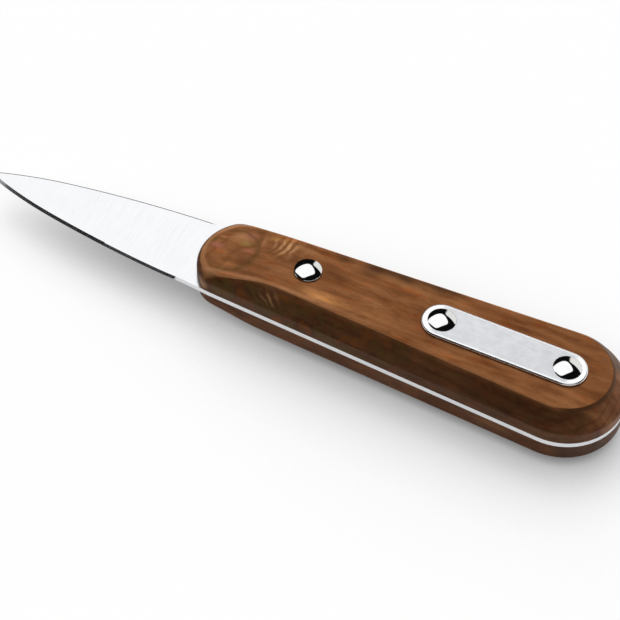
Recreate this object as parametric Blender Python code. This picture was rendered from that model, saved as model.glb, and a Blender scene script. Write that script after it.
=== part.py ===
"""Oyster knife lying on its side: a full-tang blade held between two riveted wooden scales.

The blade points along -X, its cutting edge faces -Y, and the side with the metal plate faces up.
The origin is on the table under the middle of the knife. All sizes are in metres.
"""

import math

import bmesh
import bpy

# Whole knife
HANDLE_LENGTH = 0.1112
BLADE_LENGTH = 0.0598
SEAT_GAP = 0.0003

# Handle outline in plan, at the tang: a round butt, tapering sides and a blunter nose
BUTT_RADIUS = 0.0152
SIDE_TAPER = math.radians(3.05)
NOSE_RADIUS = 0.0125
NOSE_CORNER_RADIUS = 0.0050

# Wooden scale: an upright rim, a sloping shoulder, a flat top and a thumb ramp at the nose
UPPER_THICKNESS = 0.0083
LOWER_THICKNESS = 0.0080
UPPER_RIM_HEIGHT = 0.0030
LOWER_RIM_HEIGHT = 0.0042
TOP_BUTT_RADIUS = 0.01145
TOP_BUTT_SETBACK = 0.00425
TOP_TAPER = math.radians(2.85)
TOP_NOSE_CENTRE_FROM_NOSE = 0.0150
SHOULDER_CROWN = 0.0002
SANDED_WIDTH = 0.0007
NOSE_SANDED_WIDTH = 0.0024
RAMP_LENGTH = 0.0242
RAMP_ANGLE = math.radians(12.7)
RAMP_BLEND_RADIUS = 0.028

# Blade and tang, one sheet of steel
STEEL_THICKNESS = 0.0014
ROOT_HALF_WIDTH = 0.0098
BLADE_TAPER = math.radians(2.75)
BELLY_RADIUS = 0.330
TIP_SWEEP = 0.0188
TIP_HALF_WIDTH = 0.0003
RICASSO_LENGTH = 0.0220
RICASSO_EASING = 0.7
HEEL_LENGTH = 0.0024
EDGE_BEVEL_WIDTH = 0.0005
EDGE_THICKNESS = 0.0006
EDGE_RUN_OUT = 0.0014

# Plate, let into the upper scale and held by the two rear rivets
PLATE_END_RADIUS = 0.0050
PLATE_THICKNESS = 0.0012
PLATE_RECESS = 0.0008
PLATE_EDGE_ROUND = 0.0005
PLATE_HEAD_SEAT = 0.0007

# Two-piece rivets: a domed head on a tube, and a flat head on a pin that is driven into it
BUTT_RIVET_FROM_BUTT = 0.0152
MIDDLE_RIVET_FROM_BUTT = 0.0472
NOSE_RIVET_BEHIND_RAMP = 0.0046
HEAD_RADIUS = 0.00345
HEAD_EDGE_HEIGHT = 0.0004
HEAD_DOME_RISE = 0.0008
WOOD_HEAD_SEAT = 0.0003
TUBE_RADIUS = 0.0024
TUBE_REACH = 0.0030
PIN_RADIUS = 0.0012
PIN_REACH = 0.0030
PIN_END_ROOM = 0.0006
REAR_HEAD_THICKNESS = 0.0009
REAR_HEAD_SINK = 0.0002
REAR_HEAD_ROUND = 0.0002

# Facets
BUTT_STEPS = 36
NOSE_STEPS = 28
SIDE_STEPS = 36
BLADE_STEPS = 28
PLATE_END_STEPS = 24
PLATE_ROUND_STEPS = 3
ROUND_STEPS = 32
DOME_STEPS = 5
SANDING_SAMPLES = 12
SANDED_SHARE_LIMIT = 0.4
SMOOTH_ANGLE = math.radians(30.0)
BLADE_SMOOTH_ANGLE = math.radians(12.0)
CUTTER_MARGIN = 0.0005

# Places worked out from the sizes above
TIP_X = -(HANDLE_LENGTH + BLADE_LENGTH) / 2
BUTT_X = -TIP_X
NOSE_X = BUTT_X - HANDLE_LENGTH
EDGE_END_X = NOSE_X - RICASSO_LENGTH
HEEL_X = NOSE_X - HEEL_LENGTH
BUTT_CENTRE_X = BUTT_X - BUTT_RADIUS
NOSE_CENTRE_X = NOSE_X + NOSE_RADIUS
TOP_BUTT_CENTRE_X = BUTT_X - TOP_BUTT_SETBACK - TOP_BUTT_RADIUS
TOP_NOSE_CENTRE_X = NOSE_X + TOP_NOSE_CENTRE_FROM_NOSE
TOP_NOSE_RADIUS = TOP_BUTT_RADIUS - (TOP_BUTT_CENTRE_X - TOP_NOSE_CENTRE_X) * math.sin(TOP_TAPER)
STEEL_LOW_Z = LOWER_THICKNESS + SEAT_GAP
STEEL_TOP_Z = STEEL_LOW_Z + STEEL_THICKNESS
TOP_Z = STEEL_TOP_Z + SEAT_GAP + UPPER_THICKNESS
PLATE_BOTTOM_Z = TOP_Z - PLATE_RECESS + SEAT_GAP
PLATE_TOP_Z = PLATE_BOTTOM_Z + PLATE_THICKNESS
PLATE_SEAT_Z = PLATE_TOP_Z - PLATE_HEAD_SEAT
WOOD_SEAT_Z = TOP_Z - WOOD_HEAD_SEAT
REAR_SEAT_Z = REAR_HEAD_SINK + REAR_HEAD_THICKNESS + SEAT_GAP
UPPER_SIZES = (UPPER_THICKNESS, UPPER_RIM_HEIGHT)
LOWER_SIZES = (LOWER_THICKNESS, LOWER_RIM_HEIGHT)
PLATE_RIVETS_X = [BUTT_X - MIDDLE_RIVET_FROM_BUTT, BUTT_X - BUTT_RIVET_FROM_BUTT]
NOSE_RIVET_X = NOSE_X + RAMP_LENGTH + NOSE_RIVET_BEHIND_RAMP
RIVETS_X = [NOSE_RIVET_X] + sorted(PLATE_RIVETS_X)
HOLE_RADIUS = TUBE_RADIUS + SEAT_GAP
SEAT_RADIUS = HEAD_RADIUS + SEAT_GAP


def clear_scene():
    for old in list(bpy.data.objects):
        bpy.data.objects.remove(old, do_unlink=True)


def material(name, colour, roughness, metallic):
    finish = bpy.data.materials.new(name)
    finish.use_nodes = True
    shader = finish.node_tree.nodes["Principled BSDF"]
    shader.inputs["Base Color"].default_value = (*colour, 1.0)
    shader.inputs["Roughness"].default_value = roughness
    shader.inputs["Metallic"].default_value = metallic
    return finish


def add_object(name, mesh, finish=None, location=(0.0, 0.0, 0.0)):
    piece = bpy.data.objects.new(name, mesh)
    bpy.context.scene.collection.objects.link(piece)
    piece.location = location
    if finish and not mesh.materials:
        mesh.materials.append(finish)
    return piece


def mesh_from(bm, name, smooth_angle=SMOOTH_ANGLE):
    """Closes a bmesh into a mesh with its faces pointing out and its round stretches smooth."""
    bmesh.ops.remove_doubles(bm, verts=bm.verts, dist=1e-7)
    bmesh.ops.recalc_face_normals(bm, faces=bm.faces)
    mesh = bpy.data.meshes.new(name)
    bm.to_mesh(mesh)
    bm.free()
    mesh.shade_smooth()
    mesh.set_sharp_from_angle(angle=smooth_angle)
    return mesh


def skin(bm, rings):
    """Joins each ring of vertices to the next with four-sided faces."""
    for low, high in zip(rings, rings[1:]):
        for i in range(len(low)):
            j = (i + 1) % len(low)
            bm.faces.new((low[i], low[j], high[j], high[i]))


def cut(piece, cutter):
    cutter.hide_render = True
    cutter.display_type = "WIRE"
    boolean = piece.modifiers.new(cutter.name, "BOOLEAN")
    boolean.operation = "DIFFERENCE"
    boolean.solver = "EXACT"
    boolean.object = cutter


def turned(name, profile):
    """Spins a profile of (radius, height) points, from axis to axis, round the Z axis."""
    bm = bmesh.new()
    points = [bm.verts.new((radius, 0.0, height)) for radius, height in profile]
    lines = [bm.edges.new(pair) for pair in zip(points, points[1:])]
    bmesh.ops.spin(bm, geom=points + lines, axis=(0, 0, 1), cent=(0, 0, 0), dvec=(0, 0, 0),
                   angle=2 * math.pi, steps=ROUND_STEPS, use_merge=True, use_duplicate=False)
    return mesh_from(bm, name)


def on_circle(centre_x, centre_y, radius, direction):
    return centre_x + radius * math.cos(direction), centre_y + radius * math.sin(direction)


def blend(first, last, share):
    return tuple(a + (b - a) * share for a, b in zip(first, last))


def side_half_width(x):
    """Half the handle's width on its straight, tapering sides."""
    return (BUTT_RADIUS + (x - BUTT_CENTRE_X) * math.sin(SIDE_TAPER)) / math.cos(SIDE_TAPER)


def nose_corner():
    """Centre of the arc that joins a tapering side to the nose arc, on the +Y side."""
    reach = NOSE_RADIUS - NOSE_CORNER_RADIUS
    low, high = NOSE_CENTRE_X - reach, NOSE_CENTRE_X
    for _ in range(50):
        x = (low + high) / 2
        y = side_half_width(x) - NOSE_CORNER_RADIUS / math.cos(SIDE_TAPER)
        if math.hypot(x - NOSE_CENTRE_X, y) > reach:
            low = x
        else:
            high = x
    return x, y


def rim_nose_point(direction):
    """Point of the nose's outline whose outward direction is given, from one side round to the other."""
    corner_x, corner_y = nose_corner()
    corner_end = math.atan2(corner_y, corner_x - NOSE_CENTRE_X)
    if direction < corner_end:
        return on_circle(corner_x, corner_y, NOSE_CORNER_RADIUS, direction)
    if direction > 2 * math.pi - corner_end:
        return on_circle(corner_x, -corner_y, NOSE_CORNER_RADIUS, direction)
    return on_circle(NOSE_CENTRE_X, 0.0, NOSE_RADIUS, direction)


def handle_stations():
    """Stations round the handle, each as (rim point, top point, x where it reaches the middle line)."""
    rim_side = math.pi / 2 + SIDE_TAPER
    top_side = math.pi / 2 + TOP_TAPER
    stations = []
    for i in range(BUTT_STEPS):
        turn = 2 * i / BUTT_STEPS - 1
        stations.append((on_circle(BUTT_CENTRE_X, 0.0, BUTT_RADIUS, rim_side * turn),
                         on_circle(TOP_BUTT_CENTRE_X, 0.0, TOP_BUTT_RADIUS, top_side * turn),
                         TOP_BUTT_CENTRE_X))
    side = []
    rim_start = on_circle(BUTT_CENTRE_X, 0.0, BUTT_RADIUS, rim_side)
    top_start = on_circle(TOP_BUTT_CENTRE_X, 0.0, TOP_BUTT_RADIUS, top_side)
    top_end = on_circle(TOP_NOSE_CENTRE_X, 0.0, TOP_NOSE_RADIUS, top_side)
    for i in range(SIDE_STEPS + 1):
        share = i / SIDE_STEPS
        side.append((blend(rim_start, rim_nose_point(rim_side), share), blend(top_start, top_end, share),
                     TOP_BUTT_CENTRE_X + (TOP_NOSE_CENTRE_X - TOP_BUTT_CENTRE_X) * share))
    stations += side[:-1]
    for i in range(NOSE_STEPS):
        share = i / NOSE_STEPS
        top_direction = top_side + 2 * (math.pi - top_side) * share
        stations.append((rim_nose_point(rim_side + 2 * (math.pi - rim_side) * share),
                         on_circle(TOP_NOSE_CENTRE_X, 0.0, TOP_NOSE_RADIUS, top_direction),
                         TOP_NOSE_CENTRE_X))
    stations += [((rim[0], -rim[1]), (top[0], -top[1]), foot) for rim, top, foot in reversed(side[1:])]
    return stations


def ramp_drop(x):
    """How far the top has fallen below its flat part at x: nothing, then a thumb ramp down to the nose."""
    run = max(0.0, NOSE_X + RAMP_LENGTH - x)
    curve = RAMP_BLEND_RADIUS * math.sin(RAMP_ANGLE)
    if run < curve:
        return RAMP_BLEND_RADIUS - math.sqrt(RAMP_BLEND_RADIUS**2 - run**2)
    return RAMP_BLEND_RADIUS * (1 - math.cos(RAMP_ANGLE)) + (run - curve) * math.tan(RAMP_ANGLE)


def shoulder_edge(rim, top, sizes):
    """Point and height at which the shoulder meets the top or the ramp. sizes is (thickness, rim height)."""
    thickness, rim_height = sizes
    low, high = 0.0, 1.0
    for _ in range(40):
        middle = (low + high) / 2
        if rim_height + (thickness - rim_height) * middle < thickness - ramp_drop(blend(rim, top, middle)[0]):
            low = middle
        else:
            high = middle
    edge = blend(rim, top, high)
    return edge, min(rim_height + (thickness - rim_height) * high, thickness - ramp_drop(edge[0]))


def section_point(station, edge, height, sizes, distance):
    """Point (x, y, height) on the scale's section, at a distance past the shoulder's upper edge."""
    rim, top, foot_x = station
    thickness, rim_height = sizes
    if distance >= 0:
        x, y = blend(edge, (foot_x, 0.0), distance / math.dist(edge, (foot_x, 0.0)))
        return x, y, thickness - ramp_drop(x)
    foot_height = min(rim_height, height)
    run, rise = math.dist(rim, edge), height - foot_height
    length = math.hypot(run, rise)
    if -distance >= length:
        return rim[0], rim[1], foot_height + distance + length
    t = 1 + distance / length
    full = math.hypot(math.dist(rim, top), thickness - rim_height)
    crown = 4 * SHOULDER_CROWN * t * (1 - t) * (length / full) ** 2
    x, y = blend(rim, edge, t - crown * rise / length / run)
    return x, y, foot_height + rise * t + crown * run / length


def sanded_width(x):
    """How wide the corners are rounded at x: crisp along the handle, softer down the thumb ramp."""
    share = max(0.0, min(1.0, (NOSE_X + RAMP_LENGTH - x) / RAMP_LENGTH))
    return SANDED_WIDTH + (NOSE_SANDED_WIDTH - SANDED_WIDTH) * share


def scale_section(station, sizes):
    """Points of one scale's section as (x, y, height), from the inner face up onto the top.

    The corners are rounded over, as sanding does, by averaging the section along the sanded width.
    """
    rim, top, _ = station
    edge, height = shoulder_edge(rim, top, sizes)
    length = math.hypot(math.dist(rim, edge), height - min(sizes[1], height))
    width = sanded_width(edge[0])
    half = width / 2
    near = min(half, SANDED_SHARE_LIMIT * length)
    distances = (-length - half, -length - half / 2, -length, -length + near / 2, -length + near,
                 -length / 2, -near, -near / 2, 0.0, half / 2, half)
    evenness = 1 - min(1.0, SANDED_SHARE_LIMIT * length / half)
    shifts = [width * ((k + 0.5) / SANDING_SAMPLES - 0.5) for k in range(SANDING_SAMPLES)]
    points = [(*rim, 0.0)]
    for number, distance in enumerate(distances):
        even = distances[0] + (distances[-1] - distances[0]) * number / (len(distances) - 1)
        at = distance + (even - distance) * evenness
        samples = [section_point(station, edge, height, sizes, at + shift) for shift in shifts]
        points.append(tuple(sum(values) / SANDING_SAMPLES for values in zip(*samples)))
    return points


def bridge_across(bm, ring):
    """Closes the top with faces that run straight across between the two sides of its last ring."""
    butt_end, nose_end = BUTT_STEPS // 2, BUTT_STEPS + SIDE_STEPS + NOSE_STEPS // 2
    for i in range(butt_end, nose_end):
        corners = [ring[i], ring[i + 1], ring[BUTT_STEPS - i - 1], ring[BUTT_STEPS - i]]
        bm.faces.new(sorted(set(corners), key=corners.index))


def handle_scale(name, upward, sizes):
    """One scale as a loft round the handle outline. upward is 1 for the upper scale, -1 for the lower."""
    inner_z = STEEL_TOP_Z + SEAT_GAP if upward > 0 else STEEL_LOW_Z - SEAT_GAP
    bm = bmesh.new()
    columns = []
    for station in handle_stations():
        section = scale_section(station, sizes)
        columns.append([bm.verts.new((x, y, inner_z + upward * height)) for x, y, height in section])
    rings = [list(ring) for ring in zip(*columns)]
    skin(bm, rings)
    bm.faces.new(rings[0])
    bridge_across(bm, rings[-1])
    return mesh_from(bm, name)


def arc_height(x, start_x, start_height, start_angle, radius):
    """Height at x on an arc that starts level with start_angle and curves down towards -X."""
    centre_x = start_x + radius * math.sin(start_angle)
    centre_height = start_height - radius * math.cos(start_angle)
    return centre_height + math.copysign(math.sqrt(radius**2 - (x - centre_x) ** 2), radius)


def blade_half_width(x):
    """Half width of the blade: a long belly arc from the handle, then a tighter arc to the tip."""
    sweep_x = TIP_X + TIP_SWEEP
    if x >= sweep_x:
        return arc_height(x, NOSE_X, ROOT_HALF_WIDTH, BLADE_TAPER, BELLY_RADIUS)
    start = arc_height(sweep_x, NOSE_X, ROOT_HALF_WIDTH, BLADE_TAPER, BELLY_RADIUS)
    angle = math.asin(math.sin(BLADE_TAPER) + (NOSE_X - sweep_x) / BELLY_RADIUS)
    run, fall = TIP_SWEEP, start - TIP_HALF_WIDTH
    offset = fall * math.cos(angle) - run * math.sin(angle)
    return arc_height(x, sweep_x, start, angle, (run**2 + fall**2) / (2 * offset))


def edge_share(x):
    """How far the edge is ground at x: full from the tip, less along the ricasso, not at all at the heel."""
    ground = min(1.0, (EDGE_END_X - x) / EDGE_RUN_OUT)
    eased = RICASSO_EASING * min(1.0, (HEEL_X - x) / EDGE_RUN_OUT)
    return max(0.0, ground, eased)


def blade_outline():
    """Outline of blade and tang as (x, y, share of the edge bevel), from the tip back along the edge."""
    xs = [TIP_X + BLADE_LENGTH * i / BLADE_STEPS for i in range(BLADE_STEPS + 1)]
    grind_ends = [EDGE_END_X - EDGE_RUN_OUT, EDGE_END_X - EDGE_RUN_OUT * RICASSO_EASING,
                  HEEL_X - EDGE_RUN_OUT, HEEL_X]
    outline = [(x, -blade_half_width(x), edge_share(x)) for x in sorted(set(xs + grind_ends))]
    side = math.pi / 2 + SIDE_TAPER
    tang_start = rim_nose_point(side)
    outline.append((tang_start[0], -tang_start[1], 0.0))
    for i in range(BUTT_STEPS + 1):
        direction = -side + 2 * side * i / BUTT_STEPS
        outline.append((*on_circle(BUTT_CENTRE_X, 0.0, BUTT_RADIUS, direction), 0.0))
    outline.append((*tang_start, 0.0))
    outline += [(x, blade_half_width(x), 0.0) for x in reversed(xs)]
    return outline


def blade_steel():
    """Blade and tang: the outline through the sheet, with the edge ground from the upper face."""
    low, edge, face = [], [], []
    for x, y, share in blade_outline():
        in_y = min(y + EDGE_BEVEL_WIDTH * share, 0.0) if y < 0 else y
        edge_height = STEEL_THICKNESS + (EDGE_THICKNESS - STEEL_THICKNESS) * share
        low.append((x, y, STEEL_LOW_Z))
        edge.append((x, y, STEEL_LOW_Z + edge_height))
        face.append((x, in_y, STEEL_TOP_Z))
    bm = bmesh.new()
    rings = [[bm.verts.new(point) for point in level] for level in (low, edge, face)]
    skin(bm, rings)
    bm.faces.new(rings[0])
    bm.faces.new(rings[-1])
    return mesh_from(bm, "blade", BLADE_SMOOTH_ANGLE)


def plate_points(radius):
    """Outline of a stadium whose round ends share their centres with the two plate rivets."""
    points = []
    for centre_x, start in ((max(PLATE_RIVETS_X), -math.pi / 2), (min(PLATE_RIVETS_X), math.pi / 2)):
        for i in range(PLATE_END_STEPS + 1):
            points.append(on_circle(centre_x, 0.0, radius, start + math.pi * i / PLATE_END_STEPS))
    return points


def stacked(name, levels):
    """A solid skinned through plate outlines, given as (radius, height) from the lowest up."""
    bm = bmesh.new()
    rings = [[bm.verts.new((x, y, z)) for x, y in plate_points(radius)] for radius, z in levels]
    skin(bm, rings)
    bm.faces.new(rings[0])
    bm.faces.new(rings[-1])
    return mesh_from(bm, name)


def plate_body():
    """The bare plate, with its upper edge rounded over."""
    levels = [(PLATE_END_RADIUS, PLATE_BOTTOM_Z)]
    for i in range(PLATE_ROUND_STEPS + 1):
        turn = math.pi / 2 * i / PLATE_ROUND_STEPS
        levels.append((PLATE_END_RADIUS - PLATE_EDGE_ROUND * (1 - math.cos(turn)),
                       PLATE_TOP_Z - PLATE_EDGE_ROUND * (1 - math.sin(turn))))
    return stacked("plate", levels)


def plate_recess_cutter():
    """The pocket in the upper scale that the plate lies in."""
    radius = PLATE_END_RADIUS + SEAT_GAP
    return stacked("plate_recess_cutter", [(radius, TOP_Z - PLATE_RECESS), (radius, PLATE_TOP_Z)])


def front_rivet(name, seat_z):
    """Domed head and tube of a rivet whose head has its underside at seat_z."""
    rim_z = seat_z + HEAD_EDGE_HEIGHT
    dome_radius = (HEAD_RADIUS**2 + HEAD_DOME_RISE**2) / (2 * HEAD_DOME_RISE)
    dome_angle = math.asin(HEAD_RADIUS / dome_radius)
    profile = []
    for i in range(DOME_STEPS + 1):
        turn = dome_angle * i / DOME_STEPS
        profile.append((dome_radius * math.sin(turn),
                        rim_z + HEAD_DOME_RISE - dome_radius * (1 - math.cos(turn))))
    bore_radius = PIN_RADIUS + SEAT_GAP
    tube_end = STEEL_LOW_Z - TUBE_REACH
    bore_end = STEEL_TOP_Z + PIN_REACH + PIN_END_ROOM
    profile += [(HEAD_RADIUS, seat_z), (TUBE_RADIUS, seat_z), (TUBE_RADIUS, tube_end),
                (bore_radius, tube_end), (bore_radius, bore_end), (0.0, bore_end)]
    return turned(name, profile)


def rear_rivet():
    """Flat head and pin of a rivet, sunk just below the lower face of the handle."""
    head_top_z = REAR_SEAT_Z - SEAT_GAP
    pin_end = STEEL_TOP_Z + PIN_REACH
    profile = [(0.0, REAR_HEAD_SINK), (HEAD_RADIUS - REAR_HEAD_ROUND, REAR_HEAD_SINK),
               (HEAD_RADIUS, REAR_HEAD_SINK + REAR_HEAD_ROUND), (HEAD_RADIUS, head_top_z),
               (PIN_RADIUS, head_top_z), (PIN_RADIUS, pin_end), (0.0, pin_end)]
    return turned("rear_rivet", profile)


def rivet_cutter(name, x, head_seat_z):
    """Room for one rivet through the whole stack: its hole, and the seats of its two heads."""
    below, above = -CUTTER_MARGIN, PLATE_TOP_Z + CUTTER_MARGIN
    profile = [(0.0, below), (SEAT_RADIUS, below), (SEAT_RADIUS, REAR_SEAT_Z), (HOLE_RADIUS, REAR_SEAT_Z),
               (HOLE_RADIUS, head_seat_z), (SEAT_RADIUS, head_seat_z), (SEAT_RADIUS, above), (0.0, above)]
    return add_object(name, turned(name, profile), location=(x, 0.0, 0.0))


def build():
    clear_scene()
    wood = material("walnut", (0.205, 0.087, 0.033), 0.42, 0.0)
    lower_wood = material("walnut_lower", (0.19, 0.08, 0.031), 0.42, 0.0)
    steel = material("blade_steel", (0.80, 0.80, 0.81), 0.22, 1.0)
    plate_steel = material("plate_steel", (0.66, 0.67, 0.68), 0.34, 1.0)
    rivet_steel = material("rivet_steel", (0.82, 0.82, 0.83), 0.08, 1.0)
    pin_steel = material("rivet_pin_steel", (0.74, 0.74, 0.75), 0.18, 1.0)

    blade = add_object("blade", blade_steel(), steel)
    top_scale = add_object("top_scale", handle_scale("top_scale", 1, UPPER_SIZES), wood)
    bottom_scale = add_object("bottom_scale", handle_scale("bottom_scale", -1, LOWER_SIZES), lower_wood)
    plate = add_object("plate", plate_body(), plate_steel)

    cut(top_scale, add_object("plate_recess_cutter", plate_recess_cutter()))
    rear = rear_rivet()
    plate_front = front_rivet("plate_rivet", PLATE_SEAT_Z + SEAT_GAP)
    nose_front = front_rivet("nose_rivet", WOOD_SEAT_Z + SEAT_GAP)
    for number, x in enumerate(RIVETS_X, start=1):
        if x in PLATE_RIVETS_X:
            front, seat_z, passed = plate_front, PLATE_SEAT_Z, (blade, top_scale, bottom_scale, plate)
        else:
            front, seat_z, passed = nose_front, WOOD_SEAT_Z, (blade, top_scale, bottom_scale)
        room = rivet_cutter(f"rivet_{number}_cutter", x, seat_z)
        for piece in passed:
            cut(piece, room)
        add_object(f"rivet_{number}_head", front, rivet_steel, (x, 0.0, 0.0))
        add_object(f"rivet_{number}_pin", rear, pin_steel, (x, 0.0, 0.0))


build()
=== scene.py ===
"""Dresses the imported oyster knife: oiled walnut, ground and polished steel, and a small photo studio.

The knife lies on its side with the blade along -X and the cutting edge on the -Y side. Lengths are in
metres, except where a name or a comment says millimetres.
"""

import math
from collections import namedtuple

import bmesh
import bpy
from mathutils import Matrix, Vector


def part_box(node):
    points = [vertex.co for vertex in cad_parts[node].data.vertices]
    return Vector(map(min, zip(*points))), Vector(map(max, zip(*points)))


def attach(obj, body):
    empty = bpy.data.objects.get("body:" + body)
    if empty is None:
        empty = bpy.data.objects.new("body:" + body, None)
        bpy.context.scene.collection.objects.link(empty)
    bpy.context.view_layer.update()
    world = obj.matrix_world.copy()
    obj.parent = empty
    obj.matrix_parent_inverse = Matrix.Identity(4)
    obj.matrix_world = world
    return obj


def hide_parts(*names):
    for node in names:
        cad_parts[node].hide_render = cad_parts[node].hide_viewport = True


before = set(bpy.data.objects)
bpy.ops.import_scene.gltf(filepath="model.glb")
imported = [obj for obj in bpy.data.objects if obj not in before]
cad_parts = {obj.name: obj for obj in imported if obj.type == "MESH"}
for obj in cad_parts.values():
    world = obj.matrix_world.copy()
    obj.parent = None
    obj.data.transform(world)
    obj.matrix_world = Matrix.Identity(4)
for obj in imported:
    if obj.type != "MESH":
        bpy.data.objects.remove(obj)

MM = 1000.0
SAME_PLACE = 1e-6
NO_SHIFT = (0.0, 0.0, 0.0)
WHITE = (1.0, 1.0, 1.0)
RIVET_NUMBERS = (1, 2, 3)

# The photograph's camera, found from the rivets, the plate and the tang
CAMERA_EYE = Vector((0.12903, -0.29788, 0.42088))
CAMERA_RIGHT = Vector((0.906592, 0.421004, 0.029107))
CAMERA_UP = Vector((-0.349407, 0.710156, 0.611221))
CAMERA_LENS = 123.64
CAMERA_NEAREST, CAMERA_FARTHEST = 0.01, 20.0
SENSOR_WIDTH = 36.0

# Cards in a dark room, which are what polished steel sees. Each card hides those before it
StudioCard = namedtuple("StudioCard", "azimuth elevation turn left right low high corner edge colour")
STUDIO_CARDS = {
    "near_card": StudioCard(-48.0, 48.0, 0.0, -0.42, 0.42, -0.42, 0.42, 3.0, 0.7, (0.52, 0.52, 0.53)),
    "left_wall": StudioCard(182.0, 0.0, 0.0, -0.75, 0.75, -0.5, 0.48, 4.0, 0.6, (0.55, 0.55, 0.56)),
    "right_wall": StudioCard(-52.0, 0.0, 0.0, -0.9, 0.9, -0.8, 0.75, 4.0, 0.6, (0.45, 0.45, 0.46)),
    "back_wall": StudioCard(68.0, 0.0, 0.0, -0.62, 4.7, -1.0, 0.835, 12.0, 0.25, (0.86, 0.85, 0.82)),
    "softbox": StudioCard(129.6, 60.2, 13.0, -0.483, 0.483, -0.483, 0.483, 4.5, 0.16, (1.13, 1.13, 1.13)),
}
CARD_LEAST_AHEAD = 0.001
CARD_MOST_OFF = 4.0
ROOM_COLOUR = (0.004, 0.004, 0.004)

# What lights the wood: a wide key light from behind, a low one from the right, and a little room light
SoftLight = namedtuple("SoftLight", "name azimuth elevation spread strength")
SOFT_LIGHTS = (
    SoftLight("key_light", 115.0, 48.0, 46.0, 3.5),
    SoftLight("side_light", 25.0, 20.0, 60.0, 1.2),
)
ROOM_LIGHT = 0.04

# Noise is scaled per millimetre on each axis. A wander pushes places about, over a reach in millimetres
Grain = namedtuple("Grain", "scale detail roughness shift", defaults=(2.0, 0.5, NO_SHIFT))
Wander = namedtuple("Wander", "scale reach")
WANDER_DETAIL = 3.0
NOISE_MIDDLE = (0.5, 0.5, 0.5)

# Floor, a white sweep that glows with a painted shade, as if it stood in a light tent
FLOOR_RADIUS = 2.5
FLOOR_SIDES = 96
FLOOR_SHADE = 0.94
FLOOR_TOOTH = Grain((0.9, 0.9, 0.9), 3.0)
FLOOR_TOOTH_LOW, FLOOR_TOOTH_HIGH = 0.3, 0.7
FLOOR_TOOTH_CONTRAST = 0.01
FLOOR_ROUGHNESS = 0.95
FLOOR_GLOSS = 0.1
FLOOR_GLOW_SHARE = 0.90
FLOOR_PAINTED_SHADE_REACH = 0.6
FLOOR_GLOW_GAIN = 1.08
FLOOR_PAINTED_SHADE_AZIMUTH, FLOOR_PAINTED_SHADE_ELEVATION = 160.0, 72.0
FLOOR_PAINTED_SHADE_SAMPLES = 16
FLOOR_FADE_START_MM = 110.0
FLOOR_FADE_END_MM = 330.0

# Fits between the pieces, as the bench leaves them
GLUE_LINE = 0.00002
RIVET_FIT = 0.00005
SEAT_GAP = 0.0003
SEAT_TOLERANCE = 0.1 * SEAT_GAP
BROKEN_EDGE = 0.00006

# Blade: the eased corner of its spine, then its bevels, which fade out at the tip and stop at the heel
SPINE_EASING_WIDTH = 0.00026
SPINE_EASING_DEPTH = 1.1 * SPINE_EASING_WIDTH
SPINE_EASING_DROP = 0.00008
HANDLE_NOSE_CLEAR = 0.006
HEEL_LENGTH = 0.0036
HEEL_RUN_OUT = 0.001
BEVEL_SHOULDER_OUT = 0.00042
CUTTING_EDGE_OUT = 0.00055
TIP_TAPER = 0.003

# Lower scale, sanded thinner towards its nose
LOWER_NOSE_START = -0.004
LOWER_NOSE_SPAN = 0.018
LOWER_NOSE_LIFT = 0.0018
LOWER_NOSE_DEPTH = 0.004

# Rivets. The middle of a rounded rear edge lies ROUND_MIDDLE of its radius in from both its faces
HEAD_EDGE_HEIGHT = 0.0004
HEAD_DOME_RISE = 0.0008
HEAD_EDGE_ROUND = 0.00005
TUBE_RADIUS = 0.0024
PIN_RADIUS = 0.0012
REAR_HEAD_THICKNESS = 0.0009
REAR_HEAD_ROUND = 0.0002
ROUND_MIDDLE = 0.3
BORE_RADIUS = 0.0015
BORE_DEPTH = 0.0103
SPIN_STEPS = 128
SPIN_SEAM = 1e-7
DOME_STEPS = 20

# Corners, in degrees: what counts as square or as flat, and what is shaded as a crease on each piece
SQUARE_CORNER = 60.0
FLAT_FACE = 0.15
WOOD_CREASE = 35.0
BLADE_CREASE = 12.0
PLATE_CREASE = 40.0
HEAD_CREASE = 15.0
PIN_CREASE = 35.0

# Steel with fine lines: each colour is darker and lighter from line to line, at three places in the noise
LINE_DARK_AT, LINE_COLOUR_AT, LINE_LIGHT_AT = 0.30, 0.52, 0.74
LINE_LIGHT_SHARE = 0.6
STEEL_RELIEF = 0.00001

# Blade steel. Its ground sides start just below the polished face and stay a little short of full polish
BLADE_STEEL = (0.86, 0.865, 0.88)
BLADE_LINES = Grain((5.5, 0.12, 0.12), 3.0, 0.65)
BLADE_LINE_CONTRAST = 0.035
BLADE_LINE_DEPTH = 0.04
BLADE_ROUGHNESS = (0.3, 0.7, 0.20 * 1.15, 0.20 * 0.88)
BLADE_CLOUDS = Grain((0.09, 0.12, 0.12), 2.0, 0.5, (2.0, 6.0, 1.0))
BLADE_CLOUD_FADE = (0.35, 0.7, 0.0, 0.5)
BLADE_CLOUD_TINT = (0.965, 0.97, 0.98)
FACE_EDGE_MM = 0.04
GROUND_SIDE_MM = 0.14
GROUND_SIDE_METALLIC = 0.94

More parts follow.
